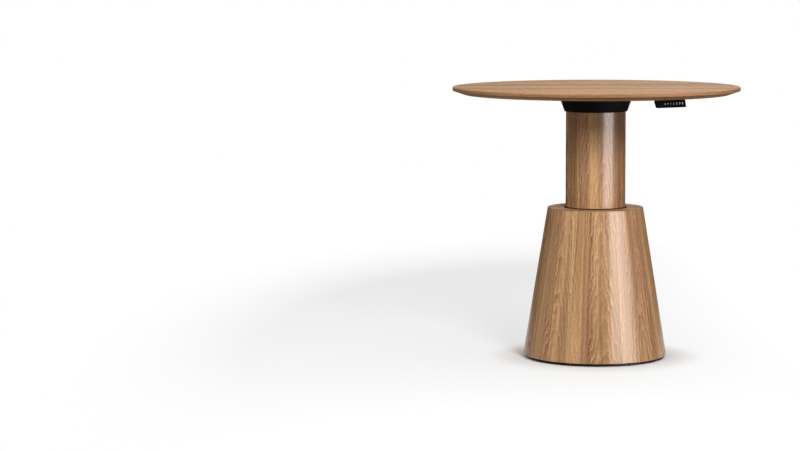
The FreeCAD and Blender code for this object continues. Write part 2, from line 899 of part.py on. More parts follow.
keypad_face_radius = top_radius - top_bevel_width - keypad_setback
keypad_foot_reach = keypad_face_radius + keypad_height * math.tan(math.radians(keypad_tilt))
keypad_slope = keypad_height / math.cos(math.radians(keypad_tilt))
keypad_bottom = underside - keypad_height
keypad_back = keypad_face_radius - keypad_depth
keypad_tab_bottom = underside - keypad_tab_thickness
face_width = keypad_width - 2 * keypad_rim
face_slope = keypad_slope - 2 * keypad_rim
face_corner = keypad_corner - keypad_rim
key_pitch = keypad_width * (last_key_share - first_key_share) / (len(key_names) - 1)
key_width = key_pitch - key_gap
key_back = face_thickness + key_slack + key_flange_thickness
board_setback = key_back + key_travel + dome_gap + dome_height
board_back = board_setback + board_thickness


def to_bearing(shape):
    """Turn a keypad piece drawn at the front to its place round the top."""
    shape.rotate(Vector(0, 0, 0), Vector(0, 0, 1), keypad_bearing)
    return shape


def on_face(shape):
    """Set a piece drawn on XY, with +Z out of the keypad's face, onto that face."""
    middle = Vector(0, -(keypad_face_radius + keypad_foot_reach) / 2, underside - keypad_height / 2)
    shape.Placement = Placement(middle, Rotation(Vector(1, 0, 0), 90 - keypad_tilt))
    return to_bearing(shape)


def lower_rounded(width, height, corner, back, front):
    """Plate on the face with its two lower corners rounded."""
    plate = block(width, height, -back, front)
    low = [e for e in plate.Edges if e.BoundBox.YMax < 0 and e.BoundBox.ZLength > (back + front) / 2]
    return plate.makeFillet(corner, low)


def keypad_screw_places():
    """Two places on the housing's tab, given in the table's frame."""
    reach = keypad_back - keypad_tab_depth + keypad_screw_inset
    aside = keypad_tab_width / 2 - keypad_screw_inset
    turn = Rotation(Vector(0, 0, 1), keypad_bearing)
    places = [turn.multVec(Vector(side * aside, -reach, 0)) for side in (-1, 1)]
    return [(place.x, place.y) for place in places]


def keypad_housing():
    """Slim wedge under the top, open at its face for the board and the panel, with a tab for its screws."""
    section = [
        (keypad_face_radius, underside),
        (keypad_foot_reach, keypad_bottom),
        (keypad_foot_reach - keypad_foot_depth, keypad_bottom),
        (keypad_back, underside - keypad_rear_height),
        (keypad_back, underside),
    ]
    corners = [Vector(-keypad_width / 2, -reach, z) for reach, z in section]
    wedge = Part.Face(Part.makePolygon(corners + corners[:1])).extrude(Vector(keypad_width, 0, 0))
    reach = keypad_foot_reach + overrun
    frame = Part.makeBox(keypad_width, reach, keypad_height, Vector(-keypad_width / 2, -reach, keypad_bottom))
    long_edges = [e for e in frame.Edges if e.BoundBox.YLength > reach / 2]
    low = [e for e in long_edges if e.BoundBox.ZMax < underside - keypad_height / 2]
    tab_lap = keypad_depth / 2
    tab = rounded_block(keypad_tab_width, keypad_tab_depth + tab_lap, keypad_tab_corner, keypad_tab_bottom,
                        underside, 0, (keypad_tab_depth - tab_lap) / 2 - keypad_back)
    housing = to_bearing(wedge.common(frame.makeFillet(keypad_corner, low)).fuse(tab).removeSplitter())
    panel_seat = lower_rounded(face_width, face_slope, face_corner, face_thickness, overrun)
    inset = 2 * keypad_ledge
    board_seat = lower_rounded(face_width - inset, face_slope - inset, face_corner - keypad_ledge,
                               board_back, overrun)
    cutters = [on_face(panel_seat), on_face(board_seat)]
    hole = wood_shank_radius + screw_clearance
    cutters += [drill(hole, keypad_tab_bottom, underside, x, y) for x, y in keypad_screw_places()]
    return cut_all(housing, cutters)


def key_place(index):
    return keypad_width * (first_key_share - 1 / 2) + key_pitch * index


def display_place():
    return keypad_width * (display_centre_share - 1 / 2)


def keypad_face():
    """Front panel with a window and one hole for each key."""
    plate = lower_rounded(face_width - 2 * keypad_fit, face_slope - 2 * keypad_fit, face_corner - keypad_fit,
                          face_thickness, 0)
    low = -face_thickness - overrun
    gap = 2 * keypad_fit
    corner = key_corner + keypad_fit
    cutters = [rounded_block(key_width + gap, key_height + gap, corner, low, overrun, key_place(i))
               for i in range(len(key_names))]
    cutters.append(block(display_width + gap, display_height + gap, low, overrun, display_place()))
    return on_face(cut_all(plate, cutters))


def keypad_display():
    return on_face(block(display_width, display_height, -board_setback, 0, display_place()))


def keypad_board():
    """Circuit board at the bottom of the housing, with a dome under each key."""
    inset = 2 * (keypad_ledge + keypad_fit)
    board = lower_rounded(face_width - inset, face_slope - inset, face_corner - keypad_ledge - keypad_fit,
                          board_back, -board_setback)
    for i in range(len(key_names)):
        board = board.fuse(cylinder(dome_radius, -board_back, -board_setback + dome_height, key_place(i)))
    return on_face(board.removeSplitter())


def key(index):
    """Key with a flange behind the panel that keeps it in."""
    cap = rounded_block(key_width, key_height, key_corner, -key_back, key_proud, key_place(index))
    flange = block(key_width + 2 * key_flange, key_height + 2 * key_flange, -key_back,
                   key_flange_thickness - key_back, key_place(index))
    return on_face(cap.fuse(flange).removeSplitter())


def keypad_screws():
    bite = keypad_tab_thickness + keypad_screw_bite - glue_gap
    return [up_screw(x, y, keypad_tab_bottom, bite, wood_head_radius, wood_head_height, wood_shank_radius)
            for x, y in keypad_screw_places()]


pieces = [
    floor_glides, base_plate, cable_grommet, shell_screws, flange_bolts,
    cone_shell, cone_cap, foot_former, top_former, guide_ring, guide_screws,
    foot_flange, outer_tube, outer_pads, nut_tube, spindle_nut,
    control_box_tray, control_box_lid, control_board, mains_inlet,
    tabletop, top_inserts, top_screws, top_plate, collar, column_sleeve, sleeve_ring, ring_screws,
    head_flange, head_bolts, inner_tube, inner_pads, bulkhead,
    bearing_outer_race, bearing_inner_race, bearing_balls,
    spindle, planet_carrier, ring_gear, sun_gear, motor_can, motor_magnets, motor_cap, rotor,
    keypad_housing, keypad_face, keypad_display, keypad_board, keypad_screws,
]
nodes = {piece.__name__: piece() for piece in pieces}
for i in range(planet_count):
    nodes[f"planet_gear_{i + 1}"] = planet_gear(i)
for i, name in enumerate(key_names):
    nodes[f"key_{name}"] = key(i)

os.makedirs("parts", exist_ok=True)
for name, shape in nodes.items():
    solids = shape if isinstance(shape, list) else shape.Solids
    whole = solids[0] if len(solids) == 1 else Part.Compound(solids)
    whole.exportStep(f"parts/{name}.step")
    print(f"{name}: {len(solids)} solids, {whole.Volume / 1000:.1f} cm3, valid {whole.isValid()}")
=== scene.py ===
import bpy
import math
import numpy as np
from mathutils import Matrix, Vector


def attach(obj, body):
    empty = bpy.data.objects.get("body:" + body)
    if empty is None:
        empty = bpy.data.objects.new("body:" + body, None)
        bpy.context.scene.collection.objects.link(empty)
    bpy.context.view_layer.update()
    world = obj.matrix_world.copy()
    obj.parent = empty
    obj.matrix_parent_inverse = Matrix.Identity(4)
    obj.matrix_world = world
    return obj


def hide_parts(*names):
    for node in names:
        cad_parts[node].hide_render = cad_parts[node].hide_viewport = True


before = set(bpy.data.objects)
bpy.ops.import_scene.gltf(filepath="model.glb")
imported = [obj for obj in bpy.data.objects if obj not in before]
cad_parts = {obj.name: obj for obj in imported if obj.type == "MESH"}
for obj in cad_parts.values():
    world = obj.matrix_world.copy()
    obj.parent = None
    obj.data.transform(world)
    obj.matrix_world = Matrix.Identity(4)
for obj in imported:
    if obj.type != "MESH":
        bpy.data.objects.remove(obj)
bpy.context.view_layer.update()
scene = bpy.context.scene


# small helpers for shader trees
def newFinish(name):
    finish = bpy.data.materials.new(name)
    finish.use_nodes = True
    return finish, finish.node_tree, finish.node_tree.nodes["Principled BSDF"]


def linear(red, green, blue):  # a colour as a picture shows it, 0 to 255, into linear light
    share = np.array([red, green, blue]) / 255
    light = np.where(share <= 0.04045, share / 12.92, ((share + 0.055) / 1.055) ** 2.4)  # sRGB's own curve
    return (*light.tolist(), 1)


def toned(colour, factor, haze=0.0):  # a lighter or darker version of a colour
    return tuple(min(1.0, part * factor + haze) for part in colour[:3]) + (1,)


def greys(stops):  # stops of a ramp in grey
    return [(at, (tone, tone, tone, 1)) for at, tone in stops]


def join(tree, source, target):  # a socket is linked, a plain value is set on the target itself
    if isinstance(source, bpy.types.NodeSocket):
        tree.links.new(source, target)
    else:
        target.default_value = source


def calc(tree, operation, *values):
    node = tree.nodes.new("ShaderNodeMath")
    node.operation = operation
    for socket, value in zip(node.inputs, values):
        join(tree, value, socket)
    return node.outputs[0]


def plus(tree, base, amount, weight):  # base + amount * weight
    return calc(tree, "MULTIPLY_ADD", amount, weight, base)


def fromMiddle(tree, noise):  # noise from 0 to 1, moved to lie about zero
    return calc(tree, "SUBTRACT", noise, 0.5)


def reach(tree, x, y):  # distance from the column's axis
    return calc(tree, "SQRT", calc(tree, "MULTIPLY_ADD", x, x, calc(tree, "MULTIPLY", y, y)))


def turnFromFront(tree, x, y):  # angle round the column's axis, nought at the front
    return calc(tree, "ARCTAN2", x, calc(tree, "MULTIPLY", y, -1.0))


def remap(tree, value, low, high, newLow=0.0, newHigh=1.0):
    node = tree.nodes.new("ShaderNodeMapRange")
    node.interpolation_type = "SMOOTHSTEP"
    for socket, item in zip(node.inputs[:5], (value, low, high, newLow, newHigh)):
        join(tree, item, socket)
    return node.outputs[0]


def stack(tree, x, y, z):
    node = tree.nodes.new("ShaderNodeCombineXYZ")
    for socket, value in zip(node.inputs, (x, y, z)):
        join(tree, value, socket)
    return node.outputs[0]


def split(tree, vector):
    node = tree.nodes.new("ShaderNodeSeparateXYZ")
    join(tree, vector, node.inputs[0])
    return node.outputs


def stretch(tree, vector, x, y, z=1.0):
    node = tree.nodes.new("ShaderNodeVectorMath")
    node.operation = "MULTIPLY"
    join(tree, vector, node.inputs[0])
    node.inputs[1].default_value = (x, y, z)
    return node.outputs[0]


def cloud(tree, vector, scale=1.0, detail=2.0, roughness=0.5):
    node = tree.nodes.new("ShaderNodeTexNoise")
    join(tree, vector, node.inputs["Vector"])
    node.inputs["Scale"].default_value = scale
    node.inputs["Detail"].default_value = detail
    node.inputs["Roughness"].default_value = roughness
    return node.outputs[0]


def ramp(tree, value, stops):
    node = tree.nodes.new("ShaderNodeValToRGB")
    points = node.color_ramp.elements
    while len(points) < len(stops):
        points.new(0.5)  # moved to its own place below
    for point, (at, colour) in zip(points, stops):
        point.position = at
        point.color = colour
    join(tree, value, node.inputs[0])
    return node.outputs[0]


def tint(tree, amount, first, second):
    node = tree.nodes.new("ShaderNodeMix")
    node.data_type = "RGBA"
    join(tree, amount, node.inputs[0])
    join(tree, first, node.inputs[6])  # inputs 6 and 7 are the two colours, and output 2 is their mix
    join(tree, second, node.inputs[7])
    return node.outputs[2]


def bump(tree, surface, height, strength, distance):
    node = tree.nodes.new("ShaderNodeBump")
    node.inputs["Strength"].default_value = strength
    node.inputs["Distance"].default_value = distance
    join(tree, height, node.inputs["Height"])
    join(tree, node.outputs[0], surface.inputs["Normal"])


def place(tree):  # where a point of the piece lies at rest, in metres
    return tree.nodes.new("ShaderNodeTexCoord").outputs["Object"]


# wood veneer under clear lacquer
veneerLook = {
    "light": linear(218, 173, 124), "middle": linear(181, 137, 97),
    "dark": linear(142, 102, 68), "deep": linear(98, 65, 41),
    "rosy": linear(182, 136, 108), "olive": linear(151, 117, 79),
    "toneStops": (("light", 0.0), ("middle", 0.38), ("dark", 0.74), ("deep", 1.0)),
    "ringWidth": 0.0125, "heartDepth": 0.02, "taper": 0.1,
    # how much leaves differ: place along the log, place beside its heart, noise and tone
    "alongSpread": 11.0, "heartSpread": 0.5, "noiseSpread": 9.0, "toneSpread": 0.14,
    # each noise: how dense it is across and along the grain, and what it adds
    "sway": (10.0, 2.6), "swayBy": 0.06,
    "waver": (22.0, 6.0), "waverBy": 0.035,
    "fray": (75.0, 40.0), "frayBy": 0.85,
    "fineFray": (420.0, 14.0), "fineFrayBy": 0.45,
    "band": (24.0, 0.5), "bandDetail": 1.0, "bandBy": 1.25,
    "streak": (95.0, 1.5), "streakRoughness": 0.55, "streakBy": 0.95,
    "fibre": (700.0, 14.0), "fibreDetail": 3.0, "fibreRoughness": 0.65, "fibreBy": 0.45,
    "pore": (1300.0, 50.0), "poreDetail": 1.0, "poreEdges": (0.57, 0.68), "poreBy": 0.45,
    "fade": (16.0, 1.4), "fadeEdges": (0.36, 0.62), "fadeLeast": 0.25,
    "blush": (19.0, 0.7, 3.0),
    "rosyEdges": (0.5, 0.66), "rosyBy": 0.45, "oliveEdges": (0.48, 0.34), "oliveBy": 0.4,
    # one ring, from 0 to 1: where its late wood is dark and where its pale vein lies
    "lateStops": ((0.0, 0.2), (0.1, 0.0), (0.5, 0.1), (0.78, 0.55), (0.9, 1.0), (1.0, 0.2)), "lateBy": 0.42,
    "veinStops": ((0.0, 0.0), (0.07, 1.0), (0.16, 1.0), (0.28, 0.0)), "veinBy": -0.28,
    "jointWidth": 0.0005, "jointBy": 0.35,
    "roughness": 0.5, "roughEdges": (0.3, 0.7), "smoother": 0.05, "rougher": 0.06, "lacquerRoughness": 0.25,
    "poreDent": -0.7, "bump": 0.12, "bumpDepth": 0.0002,
}


def veneer(name, lay, leafWidth, seed, shift=0.0, lacquer=0.55, gloss=0.04, figure=1.0, depth=0.33):
    # lay(tree) gives how far across and along the grain a point lies, in metres.
    # A flat-cut leaf shows the log's rings where sqrt(across^2 + heartDepth^2) + taper * along is a whole
    # number of ring widths, which draws nested arches in the middle and straight lines at the sides.
    look = veneerLook
    finish, tree, surface = newFinish(name)
    across, along = lay(tree)
    leaf = calc(tree, "DIVIDE", calc(tree, "ADD", across, leafWidth / 2 + shift), leafWidth)
    leaf = calc(tree, "FLOOR", leaf)
    local = calc(tree, "SUBTRACT", calc(tree, "ADD", across, shift), calc(tree, "MULTIPLY", leaf, leafWidth))
    chance = tree.nodes.new("ShaderNodeTexWhiteNoise")
    chance.noise_dimensions = "1D"
    join(tree, calc(tree, "ADD", leaf, seed), chance.inputs["W"])
    first, second, third = split(tree, chance.outputs["Color"])
    run = calc(tree, "ADD", along, calc(tree, "MULTIPLY", first, look["alongSpread"]))
    aside = calc(tree, "MULTIPLY", fromMiddle(tree, second), leafWidth * look["heartSpread"])
    heart = calc(tree, "ADD", local, aside)
    sheet = stack(tree, heart, run, calc(tree, "MULTIPLY", third, look["noiseSpread"]))

    def noise(kind, detail=2.0, roughness=0.5):  # noise drawn out along the grain
        return cloud(tree, stretch(tree, sheet, *look[kind]), detail=detail, roughness=roughness)

    # ring lines sway slowly, waver at a hand's breadth and are frayed by the pores
    bend = plus(tree, heart, fromMiddle(tree, noise("sway")), look["swayBy"])
    radius = calc(tree, "SQRT", calc(tree, "MULTIPLY_ADD", bend, bend, look["heartDepth"] ** 2))
    waver = calc(tree, "MULTIPLY", fromMiddle(tree, noise("waver")), look["waverBy"])
    height = plus(tree, waver, run, look["taper"])
    rings = calc(tree, "DIVIDE", calc(tree, "ADD", radius, height), look["ringWidth"])
    rings = plus(tree, rings, noise("fray"), look["frayBy"])
    rings = plus(tree, rings, noise("fineFray"), look["fineFrayBy"])
    turn = calc(tree, "FRACT", rings)
    late = ramp(tree, turn, greys(look["lateStops"]))
    vein = ramp(tree, turn, greys(look["veinStops"]))

    band = noise("band", look["bandDetail"])
    streak = noise("streak", roughness=look["streakRoughness"])
    fibre = noise("fibre", look["fibreDetail"], look["fibreRoughness"])
    pore = remap(tree, noise("pore", look["poreDetail"]), *look["poreEdges"])
    fade = remap(tree, noise("fade"), *look["fadeEdges"], look["fadeLeast"], 1.0)

    tone = plus(tree, depth, calc(tree, "MULTIPLY", late, fade), look["lateBy"] * figure)
    tone = plus(tree, tone, calc(tree, "MULTIPLY", vein, fade), look["veinBy"] * figure)
    tone = plus(tree, tone, fromMiddle(tree, band), look["bandBy"])
    tone = plus(tree, tone, fromMiddle(tree, streak), look["streakBy"])
    tone = plus(tree, tone, fromMiddle(tree, fibre), look["fibreBy"])
    tone = plus(tree, tone, fromMiddle(tree, third), look["toneSpread"])
    colour = ramp(tree, tone, [(at, look[shade]) for shade, at in look["toneStops"]])
    blush = noise("blush")
    colour = tint(tree, remap(tree, blush, *look["rosyEdges"], 0.0, look["rosyBy"]), colour, look["rosy"])
    colour = tint(tree, remap(tree, blush, *look["oliveEdges"], 0.0, look["oliveBy"]), colour, look["olive"])
    edge = leafWidth / 2
    joint = remap(tree, calc(tree, "ABSOLUTE", local), edge - look["jointWidth"], edge, 0.0, look["jointBy"])
    shade = calc(tree, "MAXIMUM", calc(tree, "MULTIPLY", pore, look["poreBy"]), joint)
    join(tree, tint(tree, shade, colour, look["deep"]), surface.inputs["Base Color"])

    smooth, rough = look["roughness"] - look["smoother"], look["roughness"] + look["rougher"]
    join(tree, remap(tree, fibre, *look["roughEdges"], smooth, rough), surface.inputs["Roughness"])
    surface.inputs["Specular IOR Level"].default_value = gloss
    surface.inputs["Coat Weight"].default_value = lacquer
    surface.inputs["Coat Roughness"].default_value = look["lacquerRoughness"]
    bump(tree, surface, plus(tree, fibre, pore, look["poreDent"]), look["bump"], look["bumpDepth"])
    return finish


def roundLay(radius, lean=1.0):  # grain runs up the wall: across is the angle from the front times a radius
    def lay(tree):
        x, y, z = split(tree, place(tree))
        return calc(tree, "MULTIPLY", turnFromFront(tree, x, y), radius), calc(tree, "MULTIPLY", z, lean)
    return lay


def flatLay(tree):  # grain runs along X
    x, y = split(tree, place(tree))[:2]
    return y, x


def rimLay(radius):  # grain runs round the rim: across are the height and the way in from the edge
    def lay(tree):
        x, y, z = split(tree, place(tree))
        across = calc(tree, "SUBTRACT", calc(tree, "ADD", z, radius), reach(tree, x, y))
        return across, calc(tree, "MULTIPLY", turnFromFront(tree, x, y), radius)
    return lay


def leafRound(grain):  # width of one leaf where a whole number goes round
    return 2 * math.pi * grain["radius"] / grain["leaves"]


rimGrain = {"radius": 0.6}
coneGrain = {"radius": 0.25, "lean": 1.013, "leaves": 10}  # lean: length of the wall over its height
sleeveGrain = {"radius": 0.125, "leaves": 5}
woodCuts = {
    "topVeneer": {"lay": flatLay, "leafWidth": 0.15, "seed": 3.7, "lacquer": 0.1, "gloss": 0.03},
    "rimVeneer": {"lay": rimLay(rimGrain["radius"]), "leafWidth": 0.4, "seed": 21.3, "shift": 0.9,
                  "lacquer": 0.0, "gloss": 0.01, "figure": 0.2, "depth": 0.31},
    "coneVeneer": {"lay": roundLay(coneGrain["radius"], coneGrain["lean"]), "leafWidth": leafRound(coneGrain),
                   "seed": 19.29},
    "capVeneer": {"lay": flatLay, "leafWidth": 0.15, "seed": 14.9, "shift": 0.04, "lacquer": 0.13},
    "sleeveVeneer": {"lay": roundLay(sleeveGrain["radius"]), "leafWidth": leafRound(sleeveGrain),
                     "seed": 3.19, "lacquer": 0.52, "depth": 0.34},
}
woods = {name: veneer(name, **cut) for name, cut in woodCuts.items()}
print("wood finishes made")


# pieces turned about the column's axis
def softOutline(corners, radii, steps):
    # each corner of the outline becomes an arc that touches both edges: its centre lies one radius from
    # both, outside the solid at a hollow corner, and the normal turns evenly from one edge's to the next one's
    corner = np.array(corners, float)
    radius = np.array(radii, float)[:, None]
    into = corner - np.roll(corner, 1, 0)
    out = np.roll(corner, -1, 0) - corner
    into /= np.linalg.norm(into, axis=1, keepdims=True)
    out /= np.linalg.norm(out, axis=1, keepdims=True)
    turn = np.arctan2(into[:, 0] * out[:, 1] - into[:, 1] * out[:, 0], (into * out).sum(1))
    sense = np.sign(turn)[:, None]
    start = corner - into * radius * np.abs(np.tan(turn / 2))[:, None]
    angle = np.arctan2(-into[:, 0], into[:, 1])[:, None] + turn[:, None] * np.linspace(0, 1, steps)
    normal = np.stack([np.cos(angle), np.sin(angle)], 2)
    centre = start - sense * radius * normal[:, 0]
    point = centre[:, None] + (sense * radius)[:, None] * normal
    return point.reshape(-1, 2), normal.reshape(-1, 2)


def turned(name, corners, radii, sides, finishes, body, nodes, steps=7, poles=False):
    # the outline (radius, height), run with the solid on its left, is carried once round Z:
    # x = radius cos(turn), y = radius sin(turn)
    point, normal = softOutline(corners, radii, steps)
    if poles:  # the first and last corner lie on the axis, one point each
        point, normal = point[steps:-steps], normal[steps:-steps]
    rows = len(point)
    turn = np.arange(sides) * 2 * np.pi / sides
    spin = np.stack([np.cos(turn), np.sin(turn)], 1)

    def carried(outline):
        rise = np.broadcast_to(outline[:, None, 1:], (rows, sides, 1))
        return np.concatenate([outline[:, None, :1] * spin, rise], 2).reshape(-1, 3)

    verts, facing = carried(point), carried(normal)
    row = np.arange(rows - 1 if poles else rows)[:, None]
    side = np.arange(sides)[None, :]
    nextRow, nextSide = (row + 1) % rows, (side + 1) % sides
    quads = np.stack([row * sides + side, row * sides + nextSide,
                      nextRow * sides + nextSide, nextRow * sides + side], 2)
    faces = quads.reshape(-1, 4).tolist()
    if poles:
        low, high, last = len(verts), len(verts) + 1, (rows - 1) * sides
        verts = np.concatenate([verts, [[0, 0, corners[0][1]], [0, 0, corners[-1][1]]]])
        facing = np.concatenate([facing, [[0, 0, -1], [0, 0, 1]]])
        around = np.arange(sides)
        beside = (around + 1) % sides
        faces += np.stack([np.full(sides, low), beside, around], 1).tolist()
        faces += np.stack([last + around, last + beside, np.full(sides, high)], 1).tolist()
    mesh = bpy.data.meshes.new(name)
    mesh.from_pydata(verts.tolist(), [], faces)
    mesh.polygons.foreach_set("use_smooth", np.ones(len(faces), bool))
    mesh.normals_split_custom_set_from_vertices(facing.tolist())
    for finish in finishes:
        mesh.materials.append(finish)
    return dress(name, mesh, body, nodes)


def dress(name, mesh, body, nodes=()):  # a mesh becomes a piece that moves with its body
    piece = bpy.data.objects.new(name, mesh)
    scene.collection.objects.link(piece)
    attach(piece, body)
    if nodes:
        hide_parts(*nodes)
    return piece


cone = {
    "footRadius": 0.300, "topRadius": 0.200, "foot": 0.013, "top": 0.634, "wall": 0.018, "sides": 360,
    "capUnder": 0.616, "capBore": 0.131, "glue": 0.0002,
    "wallEdges": (0.0005, 0.0015, 0.0006, 0.0005), "capEdges": (0.0004, 0.0004, 0.0003, 0.002),
}
coneTaper = (cone["footRadius"] - cone["topRadius"]) / (cone["top"] - cone["foot"])
innerFoot = cone["footRadius"] - cone["wall"]
innerHead = cone["footRadius"] - coneTaper * (cone["capUnder"] - cone["foot"]) - cone["wall"]
turned("cone_veneered", [
    (innerFoot, cone["foot"]), (cone["footRadius"], cone["foot"]),
    (cone["topRadius"], cone["top"]), (innerHead, cone["capUnder"]),
], cone["wallEdges"], cone["sides"], [woods["coneVeneer"]], "base", ["cone_shell"])
turned("cone_top_veneered", [
    (cone["capBore"], cone["capUnder"]), (innerHead - cone["glue"], cone["capUnder"]),
    (cone["topRadius"] - cone["glue"], cone["top"]), (cone["capBore"], cone["top"]),
], cone["capEdges"], cone["sides"], [woods["capVeneer"]], "base", ["cone_cap"])

sleeve = {"radius": 0.125, "bore": 0.116, "foot": 0.484, "head": 1.100, "edge": 0.0005, "sides": 256}
turned("sleeve_veneered", [
    (sleeve["bore"], sleeve["foot"]), (sleeve["radius"], sleeve["foot"]),
    (sleeve["radius"], sleeve["head"]), (sleeve["bore"], sleeve["head"]),
], [sleeve["edge"]] * 4, sleeve["sides"], [woods["sleeveVeneer"]], "top", ["column_sleeve"])

top = {
    "radius": 0.600, "underside": 1.109, "surface": 1.140, "edge": 0.015, "bevel": 0.047,
    "softening": (0.001, 0.004, 0.0015, 0.005, 0.001), "sides": 480, "steps": 9,
    # the edge band starts just outside the bevel's inner edge and ends just below the surface
    "bandInset": 0.0005, "bandDrop": 0.00002,
}
tableTop = turned("top_veneered", [
    (0.0, top["underside"]), (top["radius"] - top["bevel"], top["underside"]),
    (top["radius"], top["surface"] - top["edge"]), (top["radius"], top["surface"]), (0.0, top["surface"]),
], top["softening"], top["sides"], [woods["topVeneer"], woods["rimVeneer"]], "top", ["tabletop"],
    steps=top["steps"], poles=True)
centres = np.empty(len(tableTop.data.polygons) * 3)
tableTop.data.polygons.foreach_get("center", centres)
centres = centres.reshape(-1, 3)
banded = np.hypot(centres[:, 0], centres[:, 1]) > top["radius"] - top["bevel"] + top["bandInset"]
banded &= centres[:, 2] < top["surface"] - top["bandDrop"]
tableTop.data.polygons.foreach_set("material_index", banded.astype(np.int32))
print("wooden pieces turned")


# moulded, coated and metal finishes
satinLook = {
    "pebbleDetail": 2.0, "mottle": 14.0, "mottleDetail": 4.0, "noiseRoughness": 0.6,
    "pale": 1.25, "paleEdges": (0.3, 0.7), "bump": 0.25,
    "roughEdges": (0.25, 0.75), "smoother": 0.05, "rougher": 0.06,
}


def satinFinish(name, tone, roughness, grain, depth, gloss=0.5, haze=0.0015):
    # fine pebbled texture of a moulded or coated face, with a faint mottle in its colour and gloss
    look = satinLook
    finish, tree, surface = newFinish(name)
    where = place(tree)
    pebble = cloud(tree, where, grain, look["pebbleDetail"], look["noiseRoughness"])
    mottle = cloud(tree, where, look["mottle"], look["mottleDetail"], look["noiseRoughness"])
    colour = linear(*tone)
    pale = toned(colour, look["pale"], haze)
    mixed = tint(tree, remap(tree, mottle, *look["paleEdges"]), colour, pale)
    smooth, rough = roughness - look["smoother"], roughness + look["rougher"]
    join(tree, mixed, surface.inputs["Base Color"])
    join(tree, remap(tree, mottle, *look["roughEdges"], smooth, rough), surface.inputs["Roughness"])
    surface.inputs["Specular IOR Level"].default_value = gloss
    bump(tree, surface, pebble, look["bump"], depth)
    return finish


brushedLook = {
    "detail": 4.0, "noiseRoughness": 0.7, "edges": (0.3, 0.7), "dull": 0.72, "rougher": 0.1, "smoother": 0.06,
    "bump": 0.1, "bumpDepth": 0.0001,
}


def brushedFinish(name, tone, roughness, lie):
    # drawn or ground metal: noise stretched one way scratches its gloss and colour
    look = brushedLook
    finish, tree, surface = newFinish(name)
    lines = stretch(tree, place(tree), *lie)
    scratch = cloud(tree, lines, detail=look["detail"], roughness=look["noiseRoughness"])
    colour = linear(*tone)
    dull = toned(colour, look["dull"])
    rough, smooth = roughness + look["rougher"], roughness - look["smoother"]
    join(tree, tint(tree, remap(tree, scratch, *look["edges"]), dull, colour), surface.inputs["Base Color"])
    join(tree, remap(tree, scratch, *look["edges"], rough, smooth), surface.inputs["Roughness"])
    surface.inputs["Metallic"].default_value = 1.0
    bump(tree, surface, scratch, look["bump"], look["bumpDepth"])
    return finish


plyLook = {
    "pale": linear(206, 178, 136), "dark": linear(158, 120, 80), "toneEdges": (0.15, 0.85), "roughness": 0.7,
    "ply": 0.0015, "plyEdges": (0.4, 0.6), "plyBy": 0.5,
    "speck": (240.0, 240.0, 900.0), "speckDetail": 3.0, "speckBy": 0.5, "bump": 0.2, "bumpDepth": 0.0002,
}


def plyFinish():
    # edge of plywood: plies of alternate tone up the height
    look = plyLook
    finish, tree, surface = newFinish("plywood")
    where = place(tree)
    ply = calc(tree, "PINGPONG", calc(tree, "DIVIDE", split(tree, where)[2], look["ply"]), 1.0)
    ply = calc(tree, "MULTIPLY", remap(tree, ply, *look["plyEdges"]), look["plyBy"])
    speck = cloud(tree, stretch(tree, where, *look["speck"]), detail=look["speckDetail"])
    mixed = plus(tree, ply, speck, look["speckBy"])
    tones = zip(look["toneEdges"], (look["pale"], look["dark"]))
    join(tree, ramp(tree, mixed, list(tones)), surface.inputs["Base Color"])
    surface.inputs["Roughness"].default_value = look["roughness"]
    bump(tree, surface, speck, look["bump"], look["bumpDepth"])
    return finish


boardLook = {
    "mask": linear(18, 74, 46), "track": linear(52, 122, 78), "tracks": 320.0, "trackEdges": (0.86, 0.94),
    "patch": 90.0, "patchDetail": 1.0, "patchEdges": (0.48, 0.54),
    "roughness": 0.38, "bump": 0.15, "bumpDepth": 0.0001,
}


def boardFinish():
    # printed circuit board: solder mask over a faint grid of tracks
    look = boardLook
    finish, tree, surface = newFinish("boardGreen")
    where = place(tree)
    lines = [calc(tree, "PINGPONG", calc(tree, "MULTIPLY", way, look["tracks"]), 1.0)
             for way in split(tree, where)[:2]]
    track = remap(tree, calc(tree, "MAXIMUM", *lines), *look["trackEdges"])
    patch = remap(tree, cloud(tree, where, look["patch"], look["patchDetail"]), *look["patchEdges"])
    shown = calc(tree, "MULTIPLY", track, patch)
    join(tree, tint(tree, shown, look["mask"], look["track"]), surface.inputs["Base Color"])
    surface.inputs["Roughness"].default_value = look["roughness"]
    bump(tree, surface, track, look["bump"], look["bumpDepth"])
    return finish


